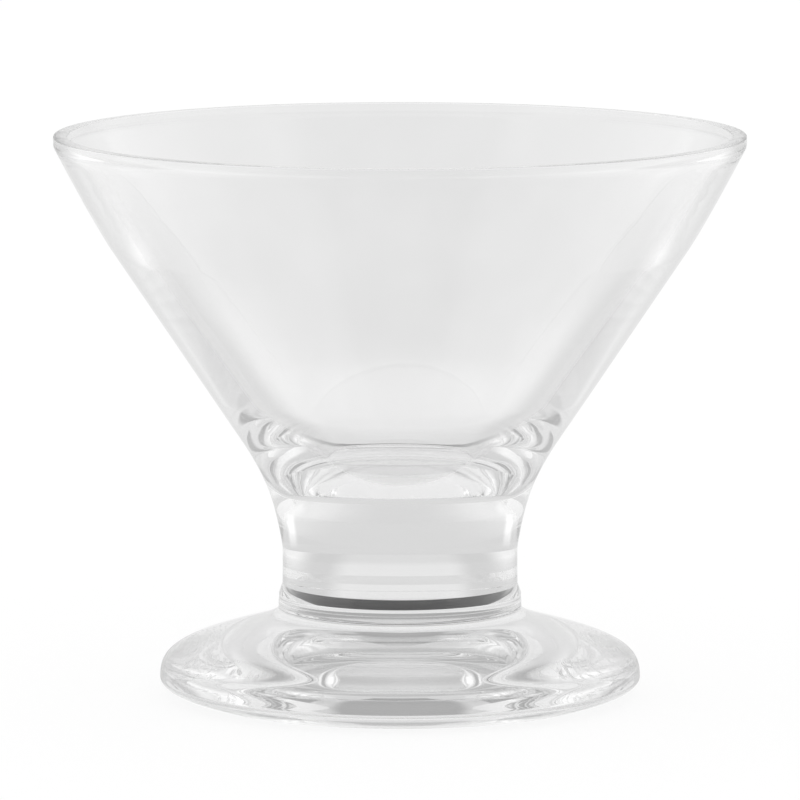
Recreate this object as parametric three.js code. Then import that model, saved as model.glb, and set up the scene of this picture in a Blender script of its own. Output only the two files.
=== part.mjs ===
// Ice cream glass: a conical bowl on a short solid stem and a thick round foot, all in clear glass.
// Millimetres, +Z up. The origin is the centre of the foot's underside, on the table.
import * as THREE from 'three';

// Heights above the table
const HEIGHT = 90;
const FOOT_JOINT_Z = 15.6;
const BOWL_JOINT_Z = 30.5;

// Rim of the bowl
const RIM_RADIUS = 55;
const RIM_BAND = 1.4;
const RIM_ROUND = 0.3;
const RIM_WALL = 2.3;
const RIM_ROUND_IN = 0.3;
const RIM_BEND = 0.4;
const RIM_BEND_IN = 0.5;

// Outside of the bowl
const CONE_SLOPE = 0.67;
const MOUTH_SLOPE = 0.52;
const MOUTH_HEIGHT = 16;
const CONE_FOOT_Z = 41;
const CONE_FOOT_RADIUS = 25.2;
const FLARE_SLOPE = 0.29;

// Inside of the bowl
const CONE_WALL = 2.5;
const CONE_FOOT_WALL = 5.8;
const FLOOR_Z = 35.2;
const FLOOR_RADIUS = 12;
const FLOOR_ROUND = 18;
const ROUND_UPPER = 0.3;
const ROUND_LOWER = 0.3;

// Solid stem
const STEM_RADIUS = 18.8;
const STEM_TOP_RADIUS = 20.15;
const WAIST_TOP_Z = 23.3;
const WAIST_SLOPE = 0.245;
const STEM_LIP_HEIGHT = 1.55;
const STEM_LIP_STEP = 0.55;

// Collar where the foot meets the stem
const COLLAR_FACE = 1.0;
const COLLAR_STEP = 0.06;
const COLLAR_LEDGE = 0.12;

// Foot
const FOOT_RADIUS = 38.4;
const FOOT_EDGE_Z = 3.1;
const FOOT_SLOPE = 0.283;
const FILLET_RADIUS = 25.7;
const FILLET_Z = 11.35;
const SHOULDER_FULLNESS = 0.87;
const REST_OUTER_RADIUS = 32.6;
const REST_INNER_RADIUS = 26.4;
const REST_BEVEL = 0.25;
const PUNT_DEPTH = 2.5;
const PUNT_FULLNESS = 0.9;

// Fineness of the faceted solids
const SIDES = 64;
const CURVE_STEPS = 4;

const SEAM_RADIUS = STEM_RADIUS + STEM_LIP_STEP;

function turned(name, outline, colour) {
  const points = outline.getPoints(CURVE_STEPS);
  const geometry = new THREE.LatheGeometry(points, SIDES);
  geometry.rotateX(Math.PI / 2);
  const material = new THREE.MeshStandardMaterial({ color: colour, roughness: 0.04, metalness: 0 });
  const mesh = new THREE.Mesh(geometry, material);
  mesh.name = name;
  return mesh;
}

// Point where two straight lines meet, each given by a point and its slope in radius per height.
function meeting(radiusA, zA, slopeA, radiusB, zB, slopeB) {
  const z = (radiusB - radiusA + slopeA * zA - slopeB * zB) / (slopeA - slopeB);
  return new THREE.Vector2(radiusA + slopeA * (z - zA), z);
}

function bowl() {
  const bandTop = HEIGHT - RIM_ROUND;
  const bandFoot = bandTop - RIM_BAND;
  const mouthRadius = RIM_RADIUS - MOUTH_SLOPE * RIM_BEND;
  const mouthZ = bandFoot - RIM_BEND;
  const bendZ = mouthZ - MOUTH_HEIGHT;
  const bendRadius = CONE_FOOT_RADIUS + CONE_SLOPE * (bendZ - CONE_FOOT_Z);
  const flare = meeting(
    STEM_TOP_RADIUS, BOWL_JOINT_Z, FLARE_SLOPE, CONE_FOOT_RADIUS, CONE_FOOT_Z, CONE_SLOPE);
  const mouth = meeting(bendRadius, bendZ, CONE_SLOPE, mouthRadius, mouthZ, MOUTH_SLOPE);

  const outline = new THREE.Path();
  outline.moveTo(0, BOWL_JOINT_Z);
  outline.lineTo(STEM_TOP_RADIUS, BOWL_JOINT_Z);
  outline.quadraticCurveTo(flare.x, flare.y, CONE_FOOT_RADIUS, CONE_FOOT_Z);
  outline.lineTo(bendRadius, bendZ);
  outline.quadraticCurveTo(mouth.x, mouth.y, mouthRadius, mouthZ);
  outline.quadraticCurveTo(RIM_RADIUS, bandFoot, RIM_RADIUS, bandFoot + RIM_BEND);
  outline.lineTo(RIM_RADIUS, bandTop);
  outline.quadraticCurveTo(RIM_RADIUS, HEIGHT, RIM_RADIUS - RIM_ROUND, HEIGHT);

  const innerRadius = RIM_RADIUS - RIM_WALL;
  const innerBendZ = bandFoot + (CONE_WALL - RIM_WALL) / MOUTH_SLOPE;
  outline.lineTo(innerRadius + RIM_ROUND_IN, HEIGHT);
  outline.quadraticCurveTo(innerRadius, HEIGHT, innerRadius, HEIGHT - RIM_ROUND_IN);
  outline.lineTo(innerRadius, innerBendZ + RIM_BEND_IN);
  outline.quadraticCurveTo(
    innerRadius, innerBendZ, innerRadius - MOUTH_SLOPE * RIM_BEND_IN, innerBendZ - RIM_BEND_IN);
  outline.lineTo(mouthRadius - CONE_WALL, mouthZ);

  // The wall thickens steadily from the mouth down to the foot of the cone.
  const taper = (CONE_FOOT_WALL - CONE_WALL) / (mouthZ - CONE_FOOT_Z);
  const innerMouth = mouth.x - CONE_WALL - taper * (mouthZ - mouth.y);
  const innerBendRadius = bendRadius - CONE_WALL - taper * (mouthZ - bendZ);
  outline.quadraticCurveTo(innerMouth, mouth.y, innerBendRadius, bendZ);

  // The inner cone runs down to a full round that turns into the flat floor.
  const innerSlope = CONE_SLOPE + taper;
  const corner = innerBendRadius - innerSlope * (bendZ - FLOOR_Z);
  const rise = FLOOR_ROUND / Math.hypot(innerSlope, 1);
  outline.lineTo(corner + innerSlope * rise, FLOOR_Z + rise);
  outline.bezierCurveTo(
    corner + (1 - ROUND_UPPER) * innerSlope * rise, FLOOR_Z + (1 - ROUND_UPPER) * rise,
    FLOOR_RADIUS + ROUND_LOWER * (corner - FLOOR_RADIUS), FLOOR_Z,
    FLOOR_RADIUS, FLOOR_Z);
  outline.lineTo(0, FLOOR_Z);
  return turned('bowl', outline, 0xe8ecec);
}

function stem() {
  const lipTop = FOOT_JOINT_Z + COLLAR_FACE + STEM_LIP_HEIGHT;
  const waist = meeting(STEM_RADIUS, WAIST_TOP_Z, 0, STEM_TOP_RADIUS, BOWL_JOINT_Z, WAIST_SLOPE);

  const outline = new THREE.Path();
  outline.moveTo(0, FOOT_JOINT_Z);
  outline.lineTo(SEAM_RADIUS, FOOT_JOINT_Z);
  outline.lineTo(SEAM_RADIUS, FOOT_JOINT_Z + COLLAR_FACE);
  outline.lineTo(STEM_RADIUS, lipTop);
  outline.lineTo(STEM_RADIUS, WAIST_TOP_Z);
  outline.quadraticCurveTo(waist.x, waist.y, STEM_TOP_RADIUS, BOWL_JOINT_Z);
  outline.lineTo(0, BOWL_JOINT_Z);
  return turned('stem', outline, 0xdfe4e4);
}

function foot() {
  const ledgeRadius = SEAM_RADIUS + COLLAR_STEP;
  const ledgeZ = FOOT_JOINT_Z - COLLAR_LEDGE;
  const faceZ = ledgeZ - COLLAR_FACE;
  const filletZ = FILLET_Z + FOOT_SLOPE * (FILLET_RADIUS - ledgeRadius);
  const reach = SHOULDER_FULLNESS * (FOOT_RADIUS - FILLET_RADIUS);
  const cornerZ = FILLET_Z - FOOT_SLOPE * (FOOT_RADIUS - FILLET_RADIUS);
  const bevelZ = REST_BEVEL * (FOOT_RADIUS - REST_OUTER_RADIUS);

  const outline = new THREE.Path();
  outline.moveTo(0, PUNT_DEPTH);
  outline.quadraticCurveTo(PUNT_FULLNESS * REST_INNER_RADIUS, PUNT_DEPTH, REST_INNER_RADIUS, 0);
  outline.lineTo(REST_OUTER_RADIUS, 0);
  outline.quadraticCurveTo(FOOT_RADIUS, bevelZ, FOOT_RADIUS, FOOT_EDGE_Z);
  outline.bezierCurveTo(
    FOOT_RADIUS, FOOT_EDGE_Z + SHOULDER_FULLNESS * (cornerZ - FOOT_EDGE_Z),
    FILLET_RADIUS + reach, FILLET_Z - FOOT_SLOPE * reach,
    FILLET_RADIUS, FILLET_Z);
  outline.quadraticCurveTo(ledgeRadius, filletZ, ledgeRadius, faceZ);
  outline.lineTo(ledgeRadius, ledgeZ);
  outline.lineTo(SEAM_RADIUS, FOOT_JOINT_Z);
  outline.lineTo(0, FOOT_JOINT_Z);
  return turned('foot', outline, 0xd6dcdc);
}

const glass = new THREE.Group();
glass.add(bowl(), stem(), foot());

export default glass;
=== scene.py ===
import math

import bpy
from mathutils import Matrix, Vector, noise


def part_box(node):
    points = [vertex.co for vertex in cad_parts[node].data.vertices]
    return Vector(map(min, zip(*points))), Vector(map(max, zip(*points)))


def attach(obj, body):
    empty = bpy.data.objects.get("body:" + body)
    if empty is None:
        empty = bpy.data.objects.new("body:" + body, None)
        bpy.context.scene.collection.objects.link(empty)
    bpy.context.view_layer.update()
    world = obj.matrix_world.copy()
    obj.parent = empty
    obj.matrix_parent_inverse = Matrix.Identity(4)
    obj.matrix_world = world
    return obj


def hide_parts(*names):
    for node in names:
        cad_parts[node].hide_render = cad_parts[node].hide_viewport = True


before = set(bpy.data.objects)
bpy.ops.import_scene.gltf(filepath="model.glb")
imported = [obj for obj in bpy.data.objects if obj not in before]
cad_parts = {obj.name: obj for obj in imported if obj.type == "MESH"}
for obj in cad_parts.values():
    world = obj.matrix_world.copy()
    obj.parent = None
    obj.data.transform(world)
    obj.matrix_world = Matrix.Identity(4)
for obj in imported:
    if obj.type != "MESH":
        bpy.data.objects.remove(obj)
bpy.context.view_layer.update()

MM = 0.001

# Heights and radii that the solids set
BOWL_LOW, BOWL_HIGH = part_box("bowl")
STEM_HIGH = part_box("stem")[1]
FOOT_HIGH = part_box("foot")[1]
HEIGHT = BOWL_HIGH[2]
RIM_RADIUS = BOWL_HIGH[0]
BOWL_JOINT_Z = BOWL_LOW[2]
FOOT_JOINT_Z = FOOT_HIGH[2]
STEM_TOP_RADIUS = STEM_HIGH[0]
FOOT_RADIUS = FOOT_HIGH[0]

# Rim of the bowl
RIM_BAND = 1.4 * MM
RIM_ROUND = 0.3 * MM
RIM_ROUND_IN = 0.3 * MM
RIM_WALL = 2.3 * MM
RIM_BEND = 0.4 * MM
RIM_BEND_IN = 0.5 * MM

# Outside of the bowl
CONE_SLOPE = 0.67
MOUTH_SLOPE = 0.52
MOUTH_HEIGHT = 16 * MM
CONE_FOOT_Z = 41 * MM
CONE_FOOT_RADIUS = 25.2 * MM
FLARE_SLOPE = 0.29

# Inside of the bowl
CONE_WALL = 2.5 * MM
CONE_FOOT_WALL = 5.8 * MM
FLOOR_Z = 35.2 * MM
FLOOR_RADIUS = 12 * MM
FLOOR_ROUND = 18 * MM
ROUND_UPPER = 0.3
ROUND_LOWER = 0.3

# Solid stem
STEM_RADIUS = 18.8 * MM
WAIST_TOP_Z = 23.3 * MM
WAIST_SLOPE = 0.245
STEM_LIP_HEIGHT = 1.55 * MM
STEM_LIP_STEP = 0.55 * MM
SEAM_RADIUS = STEM_RADIUS + STEM_LIP_STEP

# Collar where the foot meets the stem
COLLAR_FACE = 1.0 * MM
COLLAR_STEP = 0.06 * MM
COLLAR_LEDGE = 0.12 * MM

# Foot
FOOT_EDGE_Z = 3.1 * MM
FOOT_SLOPE = 0.283
FILLET_RADIUS = 25.7 * MM
FILLET_Z = 11.35 * MM
SHOULDER_FULLNESS = 0.87
REST_OUTER_RADIUS = 32.6 * MM
REST_INNER_RADIUS = 26.4 * MM
REST_BEVEL = 0.25
PUNT_DEPTH = 2.5 * MM
PUNT_FULLNESS = 0.9

# Waves in the pressed surface
SLOW_WAVE = 24 * MM
SLOW_DEPTH = 0.05 * MM
QUICK_WAVE = 9 * MM
QUICK_DEPTH = 0.01 * MM
WAVE_FADE = 3 * MM

# Fineness of the turned meshes: sides round the axis, and steps along each stretch of an outline
SIDES = 256
RING_STEP = 0.5 * MM
JOINT_STEPS = 6
FLARE_STEPS = 28
BEND_STEPS = 32
ROUND_STEPS = 40
RIM_STEPS = 10
BAND_STEPS = 4
LEDGE_STEPS = 2
LIP_STEPS = 6
WAIST_STEPS = 24
FILLET_STEPS = 32
SHOULDER_STEPS = 48
EDGE_STEPS = 24
PUNT_STEPS = 64

# A point closer to the axis than this lies on it
AXIS_RADIUS = 1e-7

# Camera at the photograph's angle
CAMERA_DISTANCE = 1.25
CAMERA_HEIGHT = 0.212
CAMERA_PITCH = math.radians(7.4984)
CAMERA_LENS = 356.1
CAMERA_REACH = 20.0

# Light that runs round inside the wall leaves it only after many bounces
LIGHT_BOUNCES = 128

# Clearness of the glass. A mark sets in as its noise, from 0 to 1, goes from LOW to HIGH.
GLASS_IOR = 1.52
SOLID_CLEAR = 0.85
WALL_CLEAR = 0.98
WALL_CLEAR_Z = 47 * MM
CLOUD_SIZE = 12 * MM
CLOUD_DETAIL = 3
CLOUD_LOW = 0.3
CLOUD_HIGH = 0.7
CLOUD_TINT = 0.01

# Marks in its surface
CHILL_SIZE = 4 * MM
CHILL_DETAIL = 2
CHILL_DEPTH = 0.002 * MM
FILM_SIZE = 18 * MM
FILM_DETAIL = 4
FILM_LOW = 0.4
FILM_HIGH = 0.75
FILM_ROUGHNESS = 0.015
WEAR_FULL_HEIGHT = 0.1 * MM
WEAR_HEIGHT = 0.6 * MM
WEAR_ROUGHNESS = 0.3
SCRATCH_SIZE = 0.5 * MM
SCRATCH_STRETCH = 0.2
SCRATCH_DETAIL = 2
SCRATCH_LOW = 0.5
SCRATCH_HIGH = 0.65
SCRATCH_DEPTH = 0.01 * MM

# Studio light: panels are placed in degrees from straight behind, and in height from -1 to 1
TENT_LIGHT = 0.82
TENT_HIGH = 0.3
CEILING_LIGHT = 0.75
CEILING_LOW = 0.9
MATT_LIGHT = 0.9
BACK_SHADE = 0.3
BACK_HALF_WIDTH = 25
BACK_LOW = 0.5
BACK_HIGH = 0.9
FRONT_SHADE = 0.35
FRONT_HALF_WIDTH = 50
FRONT_LOW = 0.25
FRONT_HIGH = 0.96
SIDE_AZIMUTH = 66
SIDE_HALF_WIDTH = 24
SIDE_LOW = 0.32
SIDE_HIGH = 0.68
SIDE_LIGHT = 0.2
WIDE_AZIMUTH = 52
WIDE_HALF_WIDTH = 32
WIDE_LOW = 0.2
WIDE_HIGH = 0.5
WIDE_LIGHT = 0.2
STRIP_AZIMUTH = 55
STRIP_HALF_WIDTH = 5
STRIP_LOW = 0.15
STRIP_HIGH = 0.32
STRIP_LIGHT = 0.4
EDGE_SOFTNESS = 5
WIDE_SOFTNESS = 20
HEIGHT_SOFTNESS = 0.1

# Floor, with painted light and a painted shadow that only the glass shows: distances from the axis,
# and degrees from straight behind
FLOOR_SIZE = 6.0
FLOOR_GREY = 0.12
CAMERA_GLOW = 0.9
FLOOR_GLOW = 0.64
UNDER_GLOW = 0.3
BEHIND_GLOW = 0.1
BEHIND_TURN = 14
BEHIND_END = 24
RING_GLOW = 0.1
RING_START = 58 * MM
RING_FULL = 96 * MM
RING_FADE = 140 * MM
RING_END = 300 * MM
SIDE_GLOW = 0.35
SIDE_START = 100 * MM
SIDE_FULL = 154 * MM
SIDE_TURN = 30
SIDE_TURN_FULL = 50
SIDE_TURN_FADE = 120
SIDE_TURN_END = 150
SHADE_NEAR = 44.5 * MM
SHADE_FAR = 51 * MM
SHADE_SOFTNESS = 1 * MM
SHADE_TURN = 40


class Outline:
    """A half section of a turned piece, from the axis round to the axis again."""

    def __init__(self, radius, z):
        self.points = [(radius, z)]
        self.creases = set()
        self.joints = []

    def line(self, radius, z, steps=None):
        r0, z0 = self.points[-1]
        length = math.hypot(radius - r0, z - z0)
        steps = steps or max(1, round(length / RING_STEP))
        for i in range(1, steps + 1):
            t = i / steps
            self.points.append((r0 + (radius - r0) * t, z0 + (z - z0) * t))

    def curve(self, *controls, steps):
        start = [self.points[-1], *controls]
        for i in range(1, steps + 1):
            t = i / steps
            level = start
            while len(level) > 1:
                level = [
                    (a[0] + (b[0] - a[0]) * t, a[1] + (b[1] - a[1]) * t)
                    for a, b in zip(level, level[1:])
                ]
            self.points.append(level[0])

    def crease(self):
        self.creases.add(len(self.points) - 1)

    def joint(self, radius, z):
        first = len(self.points) - 1
        self.line(radius, z, steps=JOINT_STEPS)
        self.joints.append((first, len(self.points) - 1))


def meeting(radius_a, z_a, slope_a, radius_b, z_b, slope_b):
    """Point where two straight lines meet, each with a slope in radius per height."""
    z = (radius_b - radius_a + slope_a * z_a - slope_b * z_b) / (slope_a - slope_b)
    return radius_a + slope_a * (z - z_a), z


def inward(points, i):
    """Unit direction into the glass at a point of an outline."""
    before = points[max(i - 1, 0)]
    after = points[min(i + 1, len(points) - 1)]
    run = after[0] - before[0]
    rise = after[1] - before[1]
    length = math.hypot(run, rise)
    return -rise / length, run / length


def wave(place):
    """How far pressed glass lies under its true surface: a slow wave and a quicker one."""
    slow = 0.5 + 0.5 * noise.noise(place / SLOW_WAVE)
    quick = 0.5 + 0.5 * noise.noise(place / QUICK_WAVE)
    return SLOW_DEPTH * slow + QUICK_DEPTH * quick


def wave_share(outline):
    """Share of the waves at each point: none at the creases, the joints, the axis and the top."""
    points = outline.points
    still = {0, len(points) - 1} | outline.creases
    for first, last in outline.joints:
        still.update(range(first, last + 1))
    share = []
    for radius, z in points:
        gap = min(math.hypot(radius - points[i][0], z - points[i][1]) for i in still)
        gap = min(gap, abs(HEIGHT - z))
        share.append(min(1.0, gap / WAVE_FADE))
    return share


def turned(name, outline, materials):
    """Turns an outline into a closed mesh. Its joint faces take the second material."""
    verts = []
    rings = []
    share = wave_share(outline)
    for i, (radius, z) in enumerate(outline.points):
        if radius < AXIS_RADIUS:
            rings.append([len(verts)])
            verts.append((0.0, 0.0, z))
            continue
        rings.append(list(range(len(verts), len(verts) + SIDES)))
        out_step, up_step = inward(outline.points, i)
        for k in range(SIDES):
            angle = 2 * math.pi * k / SIDES
            turn = Vector((math.cos(angle), math.sin(angle), 0))
            depth = share[i] * wave(radius * turn + Vector((0, 0, z))) if share[i] else 0.0
            place = (radius + depth * out_step) * turn
            verts.append((place.x, place.y, z + depth * up_step))

    faces = []
    slots = []
    for i, (low, high) in enumerate(zip(rings, rings[1:])):
        in_joint = any(a <= i < b for a, b in outline.joints)
        for k in range(SIDES):
            n = (k + 1) % SIDES
            if len(low) == 1:
                faces.append((low[0], high[n], high[k]))
            elif len(high) == 1:
                faces.append((low[k], low[n], high[0]))
            else:
                faces.append((low[k], low[n], high[n], high[k]))
            slots.append(1 if in_joint else 0)

    mesh = bpy.data.meshes.new(name)
    mesh.from_pydata(verts, [], faces)
    mesh.polygons.foreach_set("material_index", slots)
    mesh.polygons.foreach_set("use_smooth", [True] * len(faces))
    sharp = {v for i in outline.creases for v in rings[i]}
    ring_of = {v: i for i, ring in enumerate(rings) for v in ring}
    for edge in mesh.edges:
        a, b = edge.vertices
        if a in sharp and b in sharp and ring_of[a] == ring_of[b]:
            edge.use_edge_sharp = True
    for material in materials:
        mesh.materials.append(material)
    piece = bpy.data.objects.new(name, mesh)
    bpy.context.scene.collection.objects.link(piece)
    return piece


def bowl_outline():
    band_top = HEIGHT - RIM_ROUND
    band_foot = band_top - RIM_BAND
    mouth_radius = RIM_RADIUS - MOUTH_SLOPE * RIM_BEND
    mouth_z = band_foot - RIM_BEND
    bend_z = mouth_z - MOUTH_HEIGHT
    bend_radius = CONE_FOOT_RADIUS + CONE_SLOPE * (bend_z - CONE_FOOT_Z)
    flare = meeting(
        STEM_TOP_RADIUS, BOWL_JOINT_Z, FLARE_SLOPE, CONE_FOOT_RADIUS, CONE_FOOT_Z, CONE_SLOPE)
    mouth = meeting(bend_radius, bend_z, CONE_SLOPE, mouth_radius, mouth_z, MOUTH_SLOPE)
    taper = (CONE_FOOT_WALL - CONE_WALL) / (mouth_z - CONE_FOOT_Z)

    out = Outline(0, BOWL_JOINT_Z)
    out.joint(STEM_TOP_RADIUS, BOWL_JOINT_Z)
    out.crease()
    out.curve(flare, (CONE_FOOT_RADIUS, CONE_FOOT_Z), steps=FLARE_STEPS)
    out.line(bend_radius, bend_z)
    out.curve(mouth, (mouth_radius, mouth_z), steps=BEND_STEPS)
    out.curve((RIM_RADIUS, band_foot), (RIM_RADIUS, band_foot + RIM_BEND), steps=RIM_STEPS)
    out.line(RIM_RADIUS, band_top, steps=BAND_STEPS)
    out.curve((RIM_RADIUS, HEIGHT), (RIM_RADIUS - RIM_ROUND, HEIGHT), steps=RIM_STEPS)

    inner_radius = RIM_RADIUS - RIM_WALL
    inner_bend_z = band_foot + (CONE_WALL - RIM_WALL) / MOUTH_SLOPE
    out.line(inner_radius + RIM_ROUND_IN, HEIGHT, steps=LEDGE_STEPS)
    out.curve((inner_radius, HEIGHT), (inner_radius, HEIGHT - RIM_ROUND_IN), steps=RIM_STEPS)
    out.line(inner_radius, inner_bend_z + RIM_BEND_IN, steps=BAND_STEPS)
    out.curve(
        (inner_radius, inner_bend_z),
        (inner_radius - MOUTH_SLOPE * RIM_BEND_IN, inner_bend_z - RIM_BEND_IN), steps=RIM_STEPS)
    out.line(mouth_radius - CONE_WALL, mouth_z, steps=LEDGE_STEPS)

    # The wall thickens steadily from the mouth down to the foot of the cone.
    inner_mouth = mouth[0] - CONE_WALL - taper * (mouth_z - mouth[1])
    inner_bend_radius = bend_radius - CONE_WALL - taper * (mouth_z - bend_z)
    out.curve((inner_mouth, mouth[1]), (inner_bend_radius, bend_z), steps=BEND_STEPS)

    # The inner cone runs down to a full round that turns into the flat floor.
    inner_slope = CONE_SLOPE + taper
    corner = inner_bend_radius - inner_slope * (bend_z - FLOOR_Z)
    rise = FLOOR_ROUND / math.hypot(inner_slope, 1)
    out.line(corner + inner_slope * rise, FLOOR_Z + rise)
    out.curve(
        (corner + (1 - ROUND_UPPER) * inner_slope * rise, FLOOR_Z + (1 - ROUND_UPPER) * rise),
        (FLOOR_RADIUS + ROUND_LOWER * (corner - FLOOR_RADIUS), FLOOR_Z),
        (FLOOR_RADIUS, FLOOR_Z), steps=ROUND_STEPS)
    out.line(0, FLOOR_Z)
    return out


def stem_outline():
    lip_foot = FOOT_JOINT_Z + COLLAR_FACE
    waist = meeting(STEM_RADIUS, WAIST_TOP_Z, 0, STEM_TOP_RADIUS, BOWL_JOINT_Z, WAIST_SLOPE)

    out = Outline(0, FOOT_JOINT_Z)
    out.joint(SEAM_RADIUS, FOOT_JOINT_Z)
    out.crease()
    out.line(SEAM_RADIUS, lip_foot, steps=BAND_STEPS)
    out.crease()
    out.line(STEM_RADIUS, lip_foot + STEM_LIP_HEIGHT, steps=LIP_STEPS)
    out.crease()
    out.line(STEM_RADIUS, WAIST_TOP_Z)
    out.curve(waist, (STEM_TOP_RADIUS, BOWL_JOINT_Z), steps=WAIST_STEPS)
    out.crease()
    out.joint(0, BOWL_JOINT_Z)
    return out


def foot_outline():
    ledge_radius = SEAM_RADIUS + COLLAR_STEP
    ledge_z = FOOT_JOINT_Z - COLLAR_LEDGE
    face_z = ledge_z - COLLAR_FACE
    fillet_z = FILLET_Z + FOOT_SLOPE * (FILLET_RADIUS - ledge_radius)
    width = FOOT_RADIUS - FILLET_RADIUS
    reach = SHOULDER_FULLNESS * width
    corner_z = FILLET_Z - FOOT_SLOPE * width
    bevel_z = REST_BEVEL * (FOOT_RADIUS - REST_OUTER_RADIUS)

    out = Outline(0, PUNT_DEPTH)
    out.curve(
        (PUNT_FULLNESS * REST_INNER_RADIUS, PUNT_DEPTH),
        (REST_INNER_RADIUS, 0), steps=PUNT_STEPS)
    out.crease()
    out.line(REST_OUTER_RADIUS, 0)
    out.crease()
    out.curve((FOOT_RADIUS, bevel_z), (FOOT_RADIUS, FOOT_EDGE_Z), steps=EDGE_STEPS)
    out.curve(
        (FOOT_RADIUS, FOOT_EDGE_Z + SHOULDER_FULLNESS * (corner_z - FOOT_EDGE_Z)),
        (FILLET_RADIUS + reach, FILLET_Z - FOOT_SLOPE * reach),
        (FILLET_RADIUS, FILLET_Z), steps=SHOULDER_STEPS)
    out.curve((ledge_radius, fillet_z), (ledge_radius, face_z), steps=FILLET_STEPS)
    out.crease()
    out.line(ledge_radius, ledge_z, steps=BAND_STEPS)
    out.crease()
    out.line(SEAM_RADIUS, FOOT_JOINT_Z, steps=LEDGE_STEPS)
    out.crease()
    out.joint(0, FOOT_JOINT_Z)
    return out


def clear_glass():
    """Fire-polished glass. Thick glass takes more light, so stem and foot are tinted most."""
    material = bpy.data.materials.new("clear_glass")
    material.use_nodes = True
    tree = material.node_tree
    shader = tree.nodes["Principled BSDF"]
    where = tree.nodes.new("ShaderNodeTexCoord").outputs["Object"]
    split = tree.nodes.new("ShaderNodeSeparateXYZ")
    tree.links.new(where, split.inputs[0])
    height = split.outputs[2]

    # Faint cloudiness in the melt, over the tint that deepens towards the solid stem.
    clearness = ramp(tree, height, BOWL_JOINT_Z, WALL_CLEAR_Z, SOLID_CLEAR, WALL_CLEAR)
    cloud = noise_node(tree, where, CLOUD_SIZE, CLOUD_DETAIL)
    cloud = ramp(tree, cloud, CLOUD_LOW, CLOUD_HIGH, -CLOUD_TINT, CLOUD_TINT)
    clearness = value_node(tree, "ADD", clearness, cloud)
    tint = tree.nodes.new("ShaderNodeCombineColor")
    for channel in range(3):
        tree.links.new(clearness, tint.inputs[channel])
    tree.links.new(tint.outputs[0], shader.inputs["Base Color"])

    # The ring that the glass stands on is dulled by fine scratches from use.
    stretched = tree.nodes.new("ShaderNodeMapping")
    stretched.inputs["Scale"].default_value = (1.0, SCRATCH_STRETCH, 1.0)
    tree.links.new(where, stretched.inputs["Vector"])
    scratch = noise_node(tree, stretched.outputs[0], SCRATCH_SIZE, SCRATCH_DETAIL)
    scratch = ramp(tree, scratch, SCRATCH_LOW, SCRATCH_HIGH, 0.0, 1.0)
    rest = ramp(tree, height, WEAR_FULL_HEIGHT, WEAR_HEIGHT, 1.0, 0.0)
    wear = value_node(tree, "MULTIPLY", rest, scratch)
    film = noise_node(tree, where, FILM_SIZE, FILM_DETAIL)
    film = ramp(tree, film, FILM_LOW, FILM_HIGH, 0.0, FILM_ROUGHNESS)
    roughness = value_node(tree, "ADD", film, value_node(tree, "MULTIPLY", wear, WEAR_ROUGHNESS))
    tree.links.new(roughness, shader.inputs["Roughness"])

    # Shallow chill marks from the mould, and the scratches themselves.
    chill = noise_node(tree, where, CHILL_SIZE, CHILL_DETAIL)
    chill = value_node(tree, "MULTIPLY", chill, CHILL_DEPTH)
    scratched = value_node(tree, "MULTIPLY", wear, SCRATCH_DEPTH)
    relief = value_node(tree, "SUBTRACT", chill, scratched)
    bump = tree.nodes.new("ShaderNodeBump")
    bump.inputs["Strength"].default_value = 1.0
    bump.inputs["Distance"].default_value = 1.0
    tree.links.new(relief, bump.inputs["Height"])
    tree.links.new(bump.outputs[0], shader.inputs["Normal"])

    shader.inputs["Transmission Weight"].default_value = 1.0
    shader.inputs["IOR"].default_value = GLASS_IOR
    return material


def fused_joint():
    """The fused face between two pieces: light passes it as if it weren't there."""
    material = bpy.data.materials.new("fused_joint")
    material.use_nodes = True
    tree = material.node_tree
    tree.nodes.remove(tree.nodes["Principled BSDF"])
    clear = tree.nodes.new("ShaderNodeBsdfTransparent")
    tree.links.new(clear.outputs[0], tree.nodes["Material Output"].inputs["Surface"])
    return material


def value_node(tree, operation, a, b=None):
    """A Math node. Its inputs are numbers or sockets."""
    node = tree.nodes.new("ShaderNodeMath")
    node.operation = operation
    for socket, value in zip(node.inputs, (a, b)):
        if value is None:
            continue
        if isinstance(value, (int, float)):
            socket.default_value = value
        else:
            tree.links.new(value, socket)
    return node.outputs[0]


def ramp(tree, value, low, high, start, end):
    """Smooth step from start to end as value goes from low to high."""
    node = tree.nodes.new("ShaderNodeMapRange")
    node.interpolation_type = "SMOOTHSTEP"
    tree.links.new(value, node.inputs["Value"])
    node.inputs["From Min"].default_value = low
    node.inputs["From Max"].default_value = high
    node.inputs["To Min"].default_value = start
    node.inputs["To Max"].default_value = end
    return node.outputs["Result"]


def noise_node(tree, where, size, detail):
    """Noise from 0 to 1 with cells of the given size."""
    node = tree.nodes.new("ShaderNodeTexNoise")
    tree.links.new(where, node.inputs["Vector"])
    node.inputs["Scale"].default_value = 1 / size
    node.inputs["Detail"].default_value = detail
    return node.outputs[0]


def softbox(tree, azimuth, height, centre, half_width, low, high, strength, soft=EDGE_SOFTNESS):
    """How much a soft-edged panel on the sky adds to it. A negative strength is a shade."""
    offset = value_node(tree, "SUBTRACT", azimuth, math.radians(centre))
    turn = value_node(tree, "PINGPONG", offset, math.pi)
    soft = min(soft, half_width / 2)
    inner = math.radians(half_width - soft)
    outer = math.radians(half_width + soft)
    side = ramp(tree, turn, inner, outer, 1.0, 0.0)
    above = ramp(tree, height, low - HEIGHT_SOFTNESS, low + HEIGHT_SOFTNESS, 0.0, 1.0)
    below = ramp(tree, height, high - HEIGHT_SOFTNESS, high + HEIGHT_SOFTNESS, 1.0, 0.0)
    panel = value_node(tree, "MULTIPLY", side, value_node(tree, "MULTIPLY", above, below))
    return value_node(tree, "MULTIPLY", panel, strength)


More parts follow.
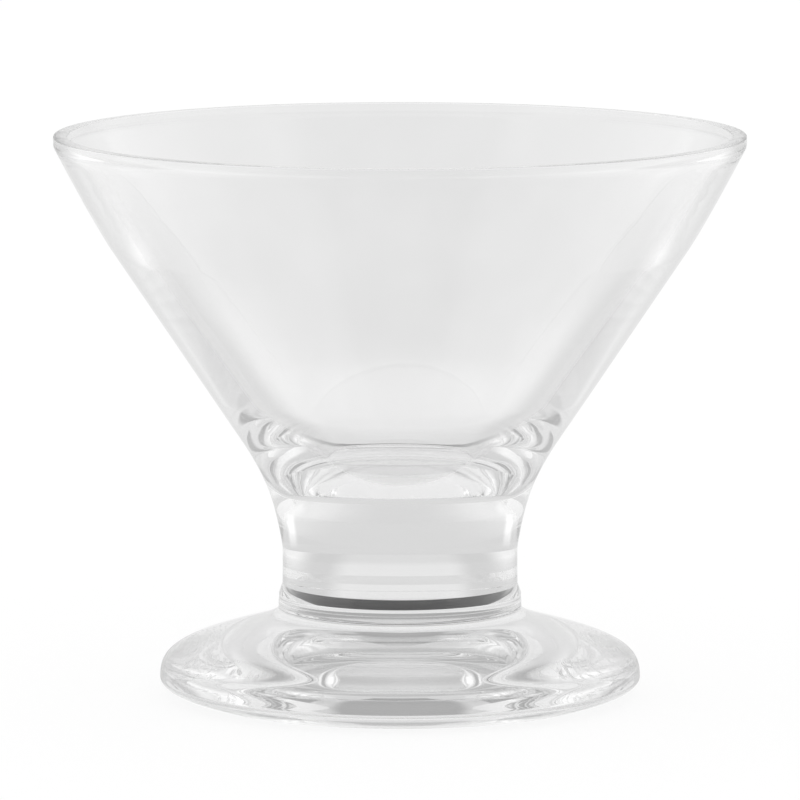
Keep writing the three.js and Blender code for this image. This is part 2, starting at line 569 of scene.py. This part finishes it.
def studio():
    """A pale tent, darker high behind the glass and over the camera, with panels at both sides."""
    world = bpy.data.worlds.new("studio")
    bpy.context.scene.world = world
    world.use_nodes = True
    tree = world.node_tree
    tree.nodes.clear()
    where = tree.nodes.new("ShaderNodeTexCoord").outputs["Generated"]
    split = tree.nodes.new("ShaderNodeSeparateXYZ")
    tree.links.new(where, split.inputs[0])
    x, y, height = split.outputs
    azimuth = value_node(tree, "ARCTAN2", x, y)

    sky = ramp(tree, height, TENT_HIGH, CEILING_LOW, TENT_LIGHT, CEILING_LIGHT)
    panels = [
        (0, BACK_HALF_WIDTH, BACK_LOW, BACK_HIGH, -BACK_SHADE),
        (180, FRONT_HALF_WIDTH, FRONT_LOW, FRONT_HIGH, -FRONT_SHADE),
    ]
    for side in (-1, 1):
        panels.append((side * SIDE_AZIMUTH, SIDE_HALF_WIDTH, SIDE_LOW, SIDE_HIGH, SIDE_LIGHT))
        panels.append(
            (side * WIDE_AZIMUTH, WIDE_HALF_WIDTH, WIDE_LOW, WIDE_HIGH, WIDE_LIGHT, WIDE_SOFTNESS))
        panels.append((side * STRIP_AZIMUTH, STRIP_HALF_WIDTH, STRIP_LOW, STRIP_HIGH, STRIP_LIGHT))
    for panel in panels:
        sky = value_node(tree, "ADD", sky, softbox(tree, azimuth, height, *panel))

    # Matt surfaces get an even light, and the camera sees plain white.
    path = tree.nodes.new("ShaderNodeLightPath")
    lit = tree.nodes.new("ShaderNodeMix")
    lit.data_type = "FLOAT"
    tree.links.new(path.outputs["Is Diffuse Ray"], lit.inputs["Factor"])
    tree.links.new(sky, lit.inputs[2])
    lit.inputs[3].default_value = MATT_LIGHT
    seen = tree.nodes.new("ShaderNodeMix")
    seen.data_type = "FLOAT"
    tree.links.new(path.outputs["Is Camera Ray"], seen.inputs["Factor"])
    tree.links.new(lit.outputs[0], seen.inputs[2])
    seen.inputs[3].default_value = 1.0
    background = tree.nodes.new("ShaderNodeBackground")
    background.inputs["Color"].default_value = (1.0, 1.0, 1.0, 1.0)
    tree.links.new(seen.outputs[0], background.inputs["Strength"])
    output = tree.nodes.new("ShaderNodeOutputWorld")
    tree.links.new(background.outputs[0], output.inputs["Surface"])


def pale_floor():
    mesh = bpy.data.meshes.new("floor")
    half = FLOOR_SIZE / 2
    corners = [(-half, -half, 0), (half, -half, 0), (half, half, 0), (-half, half, 0)]
    mesh.from_pydata(corners, [], [(0, 1, 2, 3)])
    material = bpy.data.materials.new("pale_floor")
    material.use_nodes = True
    tree = material.node_tree
    tree.nodes.clear()
    path = tree.nodes.new("ShaderNodeLightPath")
    where = tree.nodes.new("ShaderNodeTexCoord").outputs["Object"]
    reach = tree.nodes.new("ShaderNodeVectorMath")
    reach.operation = "LENGTH"
    tree.links.new(where, reach.inputs[0])
    away = reach.outputs["Value"]
    split = tree.nodes.new("ShaderNodeSeparateXYZ")
    tree.links.new(where, split.inputs[0])
    azimuth = value_node(tree, "ARCTAN2", split.outputs[0], split.outputs[1])
    azimuth = value_node(tree, "ABSOLUTE", azimuth)

    # Painted light on the floor, which only the glass shows: brighter behind it, at its sides and
    # under it.
    behind = ramp(tree, azimuth, math.radians(BEHIND_TURN), math.radians(BEHIND_END), 1.0, 0.0)
    ring = value_node(
        tree, "MULTIPLY",
        ramp(tree, away, RING_START, RING_FULL, 0.0, RING_GLOW),
        ramp(tree, away, RING_FADE, RING_END, 1.0, 0.0))
    beside = value_node(
        tree, "MULTIPLY",
        ramp(tree, azimuth, math.radians(SIDE_TURN), math.radians(SIDE_TURN_FULL), 0.0, 1.0),
        ramp(tree, azimuth, math.radians(SIDE_TURN_FADE), math.radians(SIDE_TURN_END), 1.0, 0.0))
    side = ramp(tree, away, SIDE_START, SIDE_FULL, 0.0, SIDE_GLOW)
    side = value_node(tree, "MULTIPLY", beside, side)
    under = ramp(tree, away, FOOT_RADIUS, SHADE_NEAR, UNDER_GLOW, 0.0)
    beyond = ramp(tree, away, FOOT_RADIUS, SHADE_NEAR, 0.0, BEHIND_GLOW)
    lit = value_node(tree, "MULTIPLY", behind, value_node(tree, "ADD", ring, beyond))
    for light in (side, under, FLOOR_GLOW):
        lit = value_node(tree, "ADD", lit, light)

    # Painted shadow: a dark crescent close behind the foot, which the collar shows as a ring under
    # the stem.
    inner = ramp(tree, away, SHADE_NEAR - SHADE_SOFTNESS, SHADE_NEAR + SHADE_SOFTNESS, 0.0, 1.0)
    outer = ramp(tree, away, SHADE_FAR - SHADE_SOFTNESS, SHADE_FAR + SHADE_SOFTNESS, 1.0, 0.0)
    fading = ramp(tree, azimuth, 0.0, math.radians(SHADE_TURN), 1.0, 0.0)
    shade = value_node(tree, "MULTIPLY", fading, value_node(tree, "MULTIPLY", inner, outer))
    glow_through = value_node(tree, "MULTIPLY", lit, value_node(tree, "SUBTRACT", 1.0, shade))
    mirrored = value_node(
        tree, "MAXIMUM", path.outputs["Is Glossy Ray"], path.outputs["Is Transmission Ray"])
    through = value_node(tree, "MULTIPLY", mirrored, glow_through)
    direct = value_node(tree, "MULTIPLY", path.outputs["Is Camera Ray"], CAMERA_GLOW)
    diffuse = tree.nodes.new("ShaderNodeBsdfDiffuse")
    diffuse.inputs["Color"].default_value = (FLOOR_GREY, FLOOR_GREY, FLOOR_GREY, 1.0)
    glow = tree.nodes.new("ShaderNodeEmission")
    tree.links.new(value_node(tree, "ADD", through, direct), glow.inputs["Strength"])
    both = tree.nodes.new("ShaderNodeAddShader")
    tree.links.new(diffuse.outputs[0], both.inputs[0])
    tree.links.new(glow.outputs[0], both.inputs[1])
    output = tree.nodes.new("ShaderNodeOutputMaterial")
    tree.links.new(both.outputs[0], output.inputs["Surface"])
    mesh.materials.append(material)
    floor = bpy.data.objects.new("floor", mesh)
    bpy.context.scene.collection.objects.link(floor)


def camera():
    data = bpy.data.cameras.new("camera")
    data.lens = CAMERA_LENS
    data.clip_end = CAMERA_REACH
    eye = bpy.data.objects.new("camera", data)
    eye.location = (0.0, -CAMERA_DISTANCE, CAMERA_HEIGHT)
    eye.rotation_euler = (math.pi / 2 - CAMERA_PITCH, 0.0, 0.0)
    bpy.context.scene.collection.objects.link(eye)
    bpy.context.scene.camera = eye


def render_settings():
    scene = bpy.context.scene
    scene.view_settings.view_transform = "Standard"
    scene.cycles.max_bounces = LIGHT_BOUNCES
    scene.cycles.transmission_bounces = LIGHT_BOUNCES
    scene.cycles.transparent_max_bounces = LIGHT_BOUNCES
    scene.cycles.glossy_bounces = LIGHT_BOUNCES


render_settings()
camera()
studio()
pale_floor()
materials = [clear_glass(), fused_joint()]
for node, outline in (("bowl", bowl_outline()), ("stem", stem_outline()), ("foot", foot_outline())):
    piece = turned("glass_" + node, outline, materials)
    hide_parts(node)
    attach(piece, "root")
